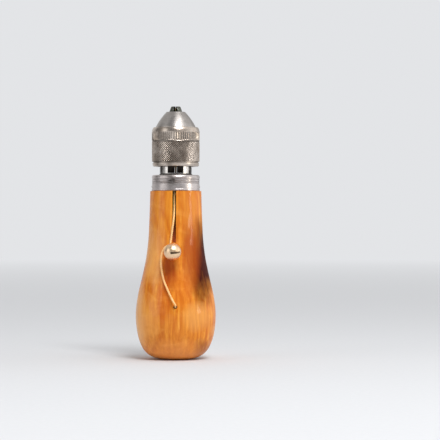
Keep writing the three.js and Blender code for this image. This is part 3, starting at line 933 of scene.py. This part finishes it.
JAW_FOOT, JAW_TOP = foot_and_top("jaw_right")
JAW_HALF_GAP = 0.15  # with the jaws closed
JAW_FOOT_HALF_GAP = 0.7  # below the step, where the thread shows
JAW_STEP_Z = 112
JAW_W = 6.0
JAW_HEEL_R = reach("jaw_right")  # the heel stands out of the slot, just below the nut
JAW_HEEL_TOP = 105.9
JAW_BACK_R = 7.2
JAW_TAPER_Z = 124
JAW_TAPER_R = 6.5
JAW_NOSE_Z = 136.4
JAW_NOSE_R = 3.75
JAW_TIP_R = 2.5
NEEDLE_BORE_R = 1.2
GUIDE_HALF_W = 1.0  # groove down the front and back of the closed jaws
GUIDE_FROM_Y = 1.6
GUIDE_TO_Y = GUIDE_FROM_Y + 4
SPRING_Y = 1.75
SPRING_Z = 110
SPRING_POCKET_R = 0.95
SPRING_POCKET_END = 3.3


def make_jaws():
    for side, node in ((1, "jaw_right"), (-1, "jaw_left")):
        outline = [
            (0, JAW_FOOT), (JAW_HEEL_R, JAW_FOOT), (JAW_HEEL_R, JAW_HEEL_TOP),
            (JAW_BACK_R, JAW_HEEL_TOP), (JAW_BACK_R, PRONG_TOP), (JAW_TAPER_R, JAW_TAPER_Z),
            (JAW_NOSE_R, JAW_NOSE_Z), (JAW_TIP_R + 0.15, JAW_TOP - 0.25),
            (JAW_TIP_R - 0.1, JAW_TOP), (0, JAW_TOP),
        ]
        jaw = turned(node + "_ground", outline, 96)
        low = JAW_FOOT - 1
        high = JAW_TOP + 1
        left, right = sorted((side * JAW_HALF_GAP, side * 12))
        half = box_piece("half", (left, -JAW_W / 2, low), (right, JAW_W / 2, high))
        carve(jaw, [half], "INTERSECT")
        bore = bar("bore", NEEDLE_BORE_R, low, high, 48)
        pocket = bar("pocket", SPRING_POCKET_R, -1, SPRING_POCKET_END, 24)
        lay_sideways(pocket, side, SPRING_Y, SPRING_Z)
        gap = JAW_FOOT_HALF_GAP
        foot_gap = box_piece("foot_gap", (-gap, -10, low), (gap, 10, JAW_STEP_Z))
        guides = [
            box_piece(name, (-GUIDE_HALF_W, near, JAW_STEP_Z), (GUIDE_HALF_W, far, high))
            for name, near, far in (
                ("front", -GUIDE_TO_Y, -GUIDE_FROM_Y), ("back", GUIDE_FROM_Y, GUIDE_TO_Y),
            )
        ]
        carve(jaw, [bore, foot_gap, *guides, pocket])
        soften(jaw, 0.12, 2, 30)
        settle(jaw, node, BLACK_STEEL, node)


SPRING_R = 0.6
SPRING_WIRE_R = 0.17
SPRING_HALF_L = 2.9
SPRING_TURNS = 5


def make_spring():
    count = SPRING_TURNS * 32
    share = np.linspace(0, 1, count + 1)
    a = share * SPRING_TURNS * 2 * math.pi
    path = np.column_stack(
        [
            SPRING_HALF_L * (2 * share - 1),
            SPRING_Y + SPRING_R * np.cos(a),
            SPRING_Z + SPRING_R * np.sin(a),
        ]
    )
    spring = tube("jaw_spring_wire", path, lambda i, angle: SPRING_WIRE_R, 12)
    settle(spring, "chuck", STEEL, "jaw_spring")


# ---- Nut ----

SLEEVE_FOOT, SLEEVE_TOP = foot_and_top("knurled_sleeve")
SLEEVE_R = reach("knurled_sleeve")
SLEEVE_THREAD_R = 9.15
SLEEVE_SEAT_R = 12.1
SLEEVE_SEAT_FOOT = 122.2
SLEEVE_LIP_R = 11.4
RIM_TOP = 108.5
DIAMOND_FOOT = 109.2
DIAMOND_TOP = 119.9
RIBS_FOOT = 120.7
RIBS_TOP = 125.4
DIAMONDS = 66
DIAMOND_ROWS = 9
RIBS = 66
KNURL_DEPTH = 0.42
CREST_FROM = 0.8  # the points of the diamonds are flat above this share of the depth
RIB_DEPTH = 0.36
RIB_END = 0.35  # height over which a rib runs out
SLEEVE_SIDES = 8 * RIBS


def to_crest(value):
    """0 in the groove and 1 on the crest, for a value that grows by 1 from groove to groove."""
    return 1 - abs(2 * (value % 1) - 1)


def knurl(r, z, a):
    """The radius of the sleeve, with diamonds below and ribs above, where the outline is widest."""
    if r < SLEEVE_R:
        return r
    around = a / (2 * math.pi)
    if DIAMOND_FOOT <= z <= DIAMOND_TOP:
        up = (z - DIAMOND_FOOT) / (DIAMOND_TOP - DIAMOND_FOOT) * DIAMOND_ROWS
        one = to_crest(around * DIAMONDS + up)
        other = to_crest(around * DIAMONDS - up)
        return r - KNURL_DEPTH * (1 - min(one, other, CREST_FROM) / CREST_FROM)
    if RIBS_FOOT < z < RIBS_TOP:
        ends = min(1, (z - RIBS_FOOT) / RIB_END, (RIBS_TOP - z) / RIB_END)
        return r - RIB_DEPTH * ends * (1 - to_crest(around * RIBS))
    return r


def make_sleeve():
    r, foot, top = SLEEVE_R, SLEEVE_FOOT, SLEEVE_TOP
    bore = SLEEVE_THREAD_R
    outline = [
        (bore + 1, foot), (r - 1.15, foot), (r - 0.75, foot + 0.12),
        (r - 0.48, foot + 0.42), (r - 0.4, foot + 0.8), (r - 0.36, RIM_TOP - 0.2),
        (r - 0.55, RIM_TOP - 0.05), (r - 0.8, RIM_TOP + 0.1), (r - 0.8, DIAMOND_FOOT - 0.3),
    ]
    rows = DIAMOND_ROWS * 8
    height = DIAMOND_TOP - DIAMOND_FOOT
    outline += [(r, DIAMOND_FOOT + height * i / rows) for i in range(rows + 1)]
    outline += [
        (r - 0.5, DIAMOND_TOP + 0.12), (r - 0.08, DIAMOND_TOP + 0.28),
        (r - 0.02, DIAMOND_TOP + 0.4), (r - 0.08, DIAMOND_TOP + 0.52),
        (r - 0.45, RIBS_FOOT - 0.1),
    ]
    ribs = RIBS_TOP - RIBS_FOOT
    outline += [(r, RIBS_FOOT + z) for z in (0.01, RIB_END, 1.5, 2.7, 3.6, ribs - RIB_END - 0.01)]
    outline += [
        (r, RIBS_TOP - 0.01), (r - 0.04, RIBS_TOP + 0.2), (r - 0.14, RIBS_TOP + 0.9),
        (r - 0.32, top - 1.05), (r - 0.56, top - 0.5), (r - 0.74, top - 0.14),
        (r - 0.9, top), (SLEEVE_LIP_R, top), (SLEEVE_LIP_R, top - 0.6),
        (SLEEVE_SEAT_R, top - 0.6), (SLEEVE_SEAT_R, SLEEVE_SEAT_FOOT),
        (bore, SLEEVE_SEAT_FOOT), (bore, foot + 2.6), (bore + 1, foot + 1.6),
    ]
    sleeve = turned("sleeve_knurled", outline, SLEEVE_SIDES, knurl, math.radians(28))
    settle(sleeve, "nut", KNURLED, "knurled_sleeve")


NOSE_FLANGE_R = reach("nose_cone")
NOSE_SKIRT_R = 10.8  # inside the retaining ring
NOSE_BORE_R = 9.3
NOSE_TAPER_Z = 125.2  # the bore narrows from here to the mouth
NOSE_BASE_R = 11.15
NOSE_TOP = foot_and_top("nose_cone")[1]
NOSE_TOP_R = 5.5
NOSE_MOUTH_R = 4.05
NOSE_BULGE = 0.5
RING_FOOT, RING_TOP = foot_and_top("nose_retaining_ring")
RING_SPLIT = 2.4
SPLIT_FROM_Y = 9  # the cutter reaches past the ring on both sides
SPLIT_TO_Y = 15


def make_nose():
    low = (NOSE_BASE_R, SLEEVE_TOP + FIT)
    high = (NOSE_TOP_R, NOSE_TOP - 0.35)
    middle = ((low[0] + high[0]) / 2 + NOSE_BULGE, (low[1] + high[1]) / 2 + NOSE_BULGE)
    side = []
    for t in np.linspace(0, 1, 17):
        parts = ((1 - t) ** 2, 2 * t * (1 - t), t**2)
        point = sum(part * np.array(p) for part, p in zip(parts, (low, middle, high)))
        side.append(tuple(point))
    outline = [
        (NOSE_BORE_R, SLEEVE_SEAT_FOOT + 2 * FIT),
        (NOSE_SKIRT_R, SLEEVE_SEAT_FOOT + 2 * FIT), (NOSE_SKIRT_R, RING_TOP + 0.2),
        (NOSE_FLANGE_R, RING_TOP + 0.2), (NOSE_FLANGE_R, SLEEVE_TOP - 0.8),
        (NOSE_BASE_R, SLEEVE_TOP - 0.8),
        *side,
        (NOSE_TOP_R - 0.14, NOSE_TOP - 0.14), (NOSE_TOP_R - 0.42, NOSE_TOP),
        (NOSE_MOUTH_R + 0.15, NOSE_TOP), (NOSE_MOUTH_R, NOSE_TOP - 0.15),
        (NOSE_MOUTH_R, NOSE_TOP - 0.5), (NOSE_BORE_R, NOSE_TAPER_Z),
    ]
    nose = turned("nose_cone_polished", outline, 192)
    settle(nose, "nose", POLISHED, "nose_cone")


def make_retaining_ring():
    low, high = RING_FOOT, RING_TOP
    inner, outer = NOSE_SKIRT_R + FIT, SLEEVE_SEAT_R - FIT
    edge = 0.12
    outline = [
        (inner, low + edge), (inner + edge, low), (outer - edge, low), (outer, low + edge),
        (outer, high - edge), (outer - edge, high), (inner + edge, high),
        (inner, high - edge),
    ]
    ring = turned("nose_ring_wire", outline, 96)
    half = RING_SPLIT / 2
    split = box_piece("split", (-half, SPLIT_FROM_Y, low - 2), (half, SPLIT_TO_Y, high + 2))
    carve(ring, [split])
    settle(ring, "nose", STEEL, "nose_retaining_ring")


# ---- Bobbin and needles ----

BOBBIN_FOOT, BOBBIN_TOP = foot_and_top("bobbin_core")
BOBBIN_R = reach("bobbin_flange_lower")
BOBBIN_CORE_R = reach("bobbin_core")
BOBBIN_BORE_R = 2.9
FLANGE_T = 1.0
WINDING_R = reach("thread_winding")
WOUND_PITCH = 1.16
WOUND_ROWS = 9  # rows of vertices in a turn of thread
WOUND_SWELL = 0.18  # how uneven the winding is


def make_bobbin():
    inner, outer = BOBBIN_BORE_R, BOBBIN_CORE_R
    edge = 0.15
    outline = [(inner, BOBBIN_FOOT), (outer, BOBBIN_FOOT), (outer, BOBBIN_TOP - edge)]
    outline += [(outer - edge, BOBBIN_TOP), (inner + edge, BOBBIN_TOP), (inner, BOBBIN_TOP - edge)]
    core = turned("bobbin_tube", outline, 64)
    settle(core, "bobbin", SPOOL, "bobbin_core")
    for node, foot in (
        ("bobbin_flange_lower", BOBBIN_FOOT),
        ("bobbin_flange_upper", BOBBIN_TOP - FLANGE_T),
    ):
        top = foot + FLANGE_T
        hole = BOBBIN_CORE_R + FIT
        outline = [
            (hole, foot), (BOBBIN_R - 0.35, foot), (BOBBIN_R - 0.1, foot + 0.12),
            (BOBBIN_R, foot + 0.35), (BOBBIN_R, top - 0.35), (BOBBIN_R - 0.1, top - 0.12),
            (BOBBIN_R - 0.35, top), (hole, top),
        ]
        flange = turned(node + "_rolled", outline, 96)
        settle(flange, "bobbin", SPOOL, node)


def make_winding():
    """The wound thread: a helix of rounded turns on the outside of a solid ring."""
    foot = BOBBIN_FOOT + FLANGE_T + FIT
    top = BOBBIN_TOP - FLANGE_T - FIT
    inner = BOBBIN_CORE_R + FIT
    rows = int((top - foot) / WOUND_PITCH * WOUND_ROWS)
    wall = [(WINDING_R, foot + (top - foot) * i / rows) for i in range(rows + 1)]
    outline = [(inner, foot), *wall, (inner, top)]

    def wound(r, z, a):
        if r < WINDING_R:
            return r
        within = (z / WOUND_PITCH - a / (2 * math.pi)) % 1 - 0.5
        swell = WOUND_SWELL * (math.sin(3 * a + z * 0.31) * math.sin(z * 0.17) - 1)
        round_top = THREAD_D * math.sqrt(max(0, 0.25 - within**2))
        return r - THREAD_D / 2 + round_top + swell

    winding = turned("thread_wound", outline, 96, wound, math.radians(80))
    settle(winding, "bobbin", THREAD, "thread_winding")


NEEDLE_X = 1.4
NEEDLE_FOOT = foot_and_top("straight_needle")[0]
NEEDLE_L = 62
NEEDLE_R = 0.9
SHANK_R = 1.15
SHANK_L = 12
NEEDLE_POINT = 5
CURVE_R = 45
CURVE_L = 20
EYE_FROM_TIP = 7.5
EYE_HALF_W = 0.38
EYE_STRETCH = 1.9  # the eye is this much longer than wide
BUTT_L = 0.4  # over which the end of the shank is rounded
GROOVE_FROM_TIP = 34  # the long groove that the thread lies in
GROOVE_CUT = 0.38
NEEDLE_SHARP = math.radians(40)


def needle_line(x, bent):
    """The centreline of a stored needle, butt first."""
    bend_z = NEEDLE_FOOT + NEEDLE_L - NEEDLE_POINT - CURVE_L
    line = [(x, 0, z) for z in np.linspace(NEEDLE_FOOT, bend_z, 40)]
    for s in np.linspace(0, CURVE_L + NEEDLE_POINT, 60)[1:]:
        if bent:
            a = min(s, CURVE_L) / CURVE_R
            beyond = max(0, s - CURVE_L)
            y = CURVE_R * (1 - math.cos(a)) + beyond * math.sin(a)
            line.append((x, y, bend_z + CURVE_R * math.sin(a) + beyond * math.cos(a)))
        else:
            line.append((x, 0, bend_z + s))
    return even_steps(np.array(line), 0.35)


def make_needle(node, x, bent):
    path = needle_line(x, bent)
    along = np.concatenate([[0], np.cumsum(np.linalg.norm(np.diff(path, axis=0), axis=1))])
    total = along[-1]

    def radius(i, a):
        s = along[i]
        left = total - s
        if s < SHANK_L:
            return SHANK_R * min(1, 0.75 + 0.25 * s / BUTT_L)
        r = SHANK_R + (NEEDLE_R - SHANK_R) * min(1, (s - SHANK_L) / 1.5)
        if left < NEEDLE_POINT:
            r *= max(0.04, left / NEEDLE_POINT) ** 0.75
        elif left < GROOVE_FROM_TIP:
            ease = min(1, (GROOVE_FROM_TIP - left) / 3, (left - NEEDLE_POINT) / 2)
            r -= GROOVE_CUT * ease * max(0, math.cos(a)) ** 6
        return r

    needle = tube(node + "_eyed", path, radius, 24, NEEDLE_SHARP)
    centre = path[int(np.searchsorted(along, total - EYE_FROM_TIP))]
    eye = bar("eye", EYE_HALF_W, -2, 2, 20)
    lay_across(eye, centre, EYE_STRETCH)
    carve(needle, [eye], sharp=NEEDLE_SHARP)
    settle(needle, "bobbin", STEEL, node)


# ---- Stage ----

FLOOR_SIZE = 60.0
FLOOR_Z = -0.0001  # just under the awl
FLOOR_FADE = (60, 2500)  # millimetres from the awl
BACKDROP = (0.77, 0.78, 0.80, 1)


def make_stage():
    """A plain pale floor that fades into the backdrop some way from the awl, on every side."""
    half = FLOOR_SIZE / 2
    floor = link_mesh(
        "floor",
        [(x * half, y * half, FLOOR_Z) for x, y in ((-1, -1), (1, -1), (1, 1), (-1, 1))],
        [(0, 1, 2, 3)],
    )
    paper = Surface("paper")
    grain = paper.noise(paper.stretched(0.4, 0.4, 0.4), detail=2)
    colour = paper.mix(paper.fit(grain, 0.3, 0.7), (0.68, 0.69, 0.71, 1), (0.66, 0.67, 0.69, 1))
    paper.set(Base_Color=colour, Roughness=0.9, Specular_IOR_Level=0.1)
    far = paper.add("ShaderNodeEmission")
    far.inputs["Color"].default_value = BACKDROP
    fade = paper.fit(paper.distance(), *FLOOR_FADE)
    paper.choose(fade, paper.shader.outputs[0], far.outputs[0], "Material Output")
    floor.data.materials.append(paper.material)


LIGHTS_AIM = Vector((0, 0, 0.075))


def area_light(name, place, size, power, colour=(1, 1, 1)):
    data = bpy.data.lights.new(name, "AREA")
    data.shape = "RECTANGLE"
    data.size, data.size_y = size
    data.energy = power
    data.color = colour
    lamp = bpy.data.objects.new(name, data)
    lamp.location = place
    aim = LIGHTS_AIM - Vector(place)
    lamp.rotation_euler = aim.to_track_quat("-Z", "Y").to_euler()
    bpy.context.scene.collection.objects.link(lamp)


# Brightness of the room by direction: degrees from the front towards the right, and strength.
ROOM_SIDES = [
    (-180, 0.9), (-130, 0.9), (-108, 0.2), (-87, 0.22), (-75, 1.8), (-50, 1.8), (-38, 0.28),
    (0, 0.25), (26, 0.3), (44, 0.65), (70, 0.9), (86, 1.5), (118, 1.5), (146, 0.68), (180, 0.72),
]
ROOM_TOP = [
    (-180, 0.9), (-90, 0.8), (-45, 0.22), (-12, 0.22),
    (6, 1.6), (56, 1.6), (100, 0.95), (180, 0.9),
]
ROOM_TOP_FROM = 0.45  # sines of the elevations between which the sides give way to the top
ROOM_TOP_FULL = 0.75
ROOM_BRIGHTEST = 2.0
ROOM_LEVEL = 0.8


def make_room():
    """Soft light from all round, a plain pale colour where the camera sees past the floor."""
    world = bpy.data.worlds.new("studio")
    bpy.context.scene.world = world
    world.use_nodes = True
    n = Tree(world.node_tree)
    parts = n.add("ShaderNodeSeparateXYZ")
    n.link(n.add("ShaderNodeTexCoord").outputs["Generated"], parts.inputs[0])
    back = n.math("MULTIPLY", parts.outputs["Y"], -1.0)
    turn = n.math("ARCTAN2", parts.outputs["X"], back)
    share = n.fit(turn, -math.pi, math.pi)
    sides, top = (make_ramp(n, share, stops) for stops in (ROOM_SIDES, ROOM_TOP))
    upper = n.fit(parts.outputs["Z"], ROOM_TOP_FROM, ROOM_TOP_FULL)
    light = n.tree.nodes["Background"]
    n.link(n.mix(upper, sides, top), light.inputs["Color"])
    light.inputs["Strength"].default_value = ROOM_BRIGHTEST * ROOM_LEVEL
    plain = n.add("ShaderNodeBackground")
    plain.inputs["Color"].default_value = BACKDROP
    seen = n.add("ShaderNodeLightPath").outputs["Is Camera Ray"]
    n.choose(seen, light.outputs[0], plain.outputs[0], "World Output")


def make_ramp(n, share, stops):
    """The brightness of the room for a share of the way round it."""
    ramp = n.add("ShaderNodeValToRGB")
    ramp.color_ramp.interpolation = "EASE"
    elements = ramp.color_ramp.elements
    while len(elements) < len(stops):
        elements.new(0.5)
    for element, (degrees, strength) in zip(elements, stops):
        element.position = (degrees + 180) / 360
        element.color = (*[strength / ROOM_BRIGHTEST] * 3, 1)
    n.link(share, ramp.inputs[0])
    return ramp.outputs[0]


def make_lights():
    make_room()
    area_light("key", (0.28, -0.70, 0.93), (0.4, 0.4), 8)
    area_light("top", (0.36, -0.2, 1.1), (0.3, 0.25), 0.5)
    area_light("strip", (1.13, -0.42, 0.12), (0.26, 0.3), 1.2, colour=(1, 0.94, 0.82))
    bpy.context.scene.view_settings.view_transform = "Standard"


# ---- Assembly ----

POLISHED = metal(
    "polished_steel", srgb(180, 175, 171), srgb(160, 154, 149), 0.32, 5, 0.003, dirt=0.05, worn=0.02
)
PLATE = metal(
    "turned_plate", srgb(208, 200, 198), srgb(180, 172, 169), 0.3, 7, 0.02, 0.22, grime_and_shade=ferrule_shade_and_smudge
)
KNURLED = metal(
    "knurled_plate", srgb(208, 197, 187), srgb(176, 162, 149), 0.27, 3, 0.01, 0.25, grime_and_shade=knurl_shade_and_patches
)
STEEL = metal("bright_steel", srgb(216, 212, 208), srgb(196, 192, 187), 0.25, 4, 0.01)
PRONG_STEEL = metal(
    "prong_steel", srgb(228, 224, 220), srgb(208, 204, 199), 0.25, 4, 0.01, grime_and_shade=prong_edge_shade
)
NICKEL = metal(
    "satin_nickel", srgb(250, 218, 180), srgb(236, 192, 154), 0.33, 2, 0.004, grime_and_shade=slot_shade
)
SPOOL = metal("spool_aluminium", srgb(215, 216, 219), srgb(200, 201, 205), 0.32, 6, 0.01)
BLACK_STEEL = jaw_steel()
THREAD = waxed_thread()
FIBRE = pressed_fibre()

make_camera()
make_thread()
make_handle()
make_ferrule()
make_brads()
make_post()
make_chuck()
make_washer()
make_jaws()
make_spring()
make_sleeve()
make_nose()
make_retaining_ring()
make_bobbin()
make_winding()
make_needle("straight_needle", -NEEDLE_X, False)
make_needle("curved_needle", NEEDLE_X, True)
make_stage()
make_lights()
